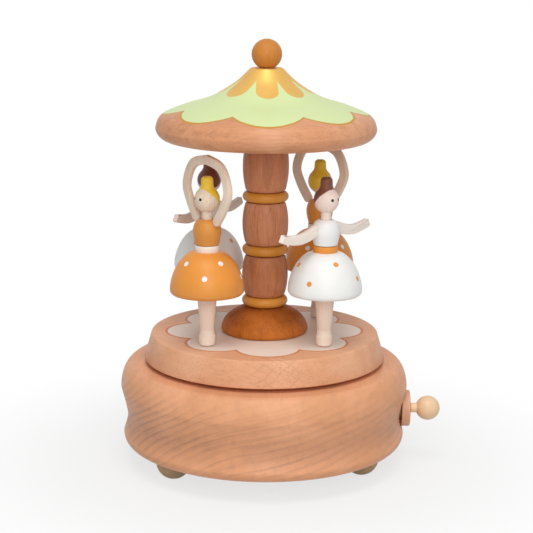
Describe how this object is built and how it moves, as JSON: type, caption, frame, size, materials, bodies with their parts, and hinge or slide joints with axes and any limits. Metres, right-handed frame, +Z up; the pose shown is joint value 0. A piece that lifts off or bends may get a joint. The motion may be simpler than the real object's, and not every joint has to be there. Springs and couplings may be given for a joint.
{
  "type": "crank music box with dancers",
  "caption": "Wooden music box with a side crank, whose turntable carries dancers round a column under a painted canopy.",
  "frame": {"origin": "on the turntable's axis, at the underside of the base's cover; the feet reach 8.6 mm below it", "axes": "+Z up along the turntable's axis, +X out along the crank, -Y towards the front"},
  "size_m": [0.13, 0.1164, 0.1715],
  "materials": {
    "natural_beech": "satin varnish",
    "olive_wood": "satin varnish",
    "reddish_wood": "satin stain",
    "orange_brown_stain": "satin stain",
    "mustard_paint": "satin paint",
    "orange_tan_wood": "satin stain",
    "pale_green_paint": "satin paint",
    "orange_paint": "satin paint",
    "white_paint": "satin paint",
    "pale_skin_wood": "matt varnish",
    "pale_wood": "satin varnish",
    "pinkish_wood": "matt",
    "plywood": "matt",
    "bright_steel": "bright",
    "brass": "satin"
  },
  "bodies": {
    "base": {"base_body": "natural_beech", "bottom_cover": "plywood", "foot_1": "olive_wood", "foot_2": "olive_wood", "foot_3": "olive_wood", "cover_screw_1": "bright_steel", "cover_screw_2": "bright_steel", "cover_screw_3": "bright_steel", "frame_screw_1": "bright_steel", "frame_screw_2": "bright_steel", "spindle_bush": "brass", "crank_bush": "brass", "movement_frame": "brass", "comb": "bright_steel", "comb_screw_1": "bright_steel", "comb_screw_2": "bright_steel"},
    "turntable": {"turntable_platform": "natural_beech", "turntable_spindle": "bright_steel", "crown_wheel": "brass", "column_dome_foot": "orange_brown_stain", "column_ring_lower": "mustard_paint", "column_barrel_lower": "reddish_wood", "column_ring_middle": "mustard_paint", "column_barrel_middle": "reddish_wood", "column_ring_upper": "mustard_paint", "column_barrel_upper": "reddish_wood", "column_rod": "natural_beech", "canopy_roof": "pale_green_paint", "finial_ball": "orange_tan_wood", "front_left_dancer_legs": "pale_skin_wood", "front_left_dancer_skirt": "orange_paint", "front_left_dancer_bodice": "orange_paint", "front_left_dancer_head": "pale_skin_wood", "front_left_dancer_arms": "pale_skin_wood", "front_right_dancer_legs": "pale_skin_wood", "front_right_dancer_skirt": "white_paint", "front_right_dancer_bodice": "white_paint", "front_right_dancer_head": "pale_skin_wood", "front_right_dancer_arm_left": "pale_skin_wood", "front_right_dancer_arm_right": "pale_skin_wood", "back_right_dancer_legs": "pale_skin_wood", "back_right_dancer_skirt": "orange_paint", "back_right_dancer_bodice": "orange_paint", "back_right_dancer_head": "pale_skin_wood", "back_right_dancer_arms": "pale_skin_wood", "back_left_dancer_legs": "pale_skin_wood", "back_left_dancer_skirt": "white_paint", "back_left_dancer_bodice": "white_paint", "back_left_dancer_head": "pale_skin_wood", "back_left_dancer_arm_left": "pale_skin_wood", "back_left_dancer_arm_right": "pale_skin_wood"},
    "crank": {"crank_disc": "pinkish_wood", "crank_knob": "pale_wood", "crank_shaft": "bright_steel", "turntable_pinion": "brass", "cylinder_pinion": "brass"},
    "cylinder": {"music_cylinder": "brass", "cylinder_gear": "brass"},
    "idler": {"idler_gear": "brass"}
  },
  "joints": [
    {"name": "turntable_spin", "type": "hinge", "parent": "base", "child": "turntable", "pos_m": [0, 0, 0], "axis": [0, 0, 1], "continuous": true},
    {"name": "crank_spin", "type": "hinge", "parent": "base", "child": "crank", "pos_m": [0, 0, 0.0129], "axis": [1, 0, 0], "continuous": true},
    {"name": "idler_spin", "type": "hinge", "parent": "base", "child": "idler", "pos_m": [0, -0.0084, 0.0129], "axis": [1, 0, 0], "continuous": true},
    {"name": "cylinder_spin", "type": "hinge", "parent": "base", "child": "cylinder", "pos_m": [0, -0.0203, 0.0129], "axis": [1, 0, 0], "continuous": true}
  ],
  "couplings": [
    {"joint": "crank_spin", "follows": "turntable_spin", "ratio": -3},
    {"joint": "idler_spin", "follows": "turntable_spin", "ratio": 2.1429},
    {"joint": "cylinder_spin", "follows": "turntable_spin", "ratio": -1.5}
  ]
}
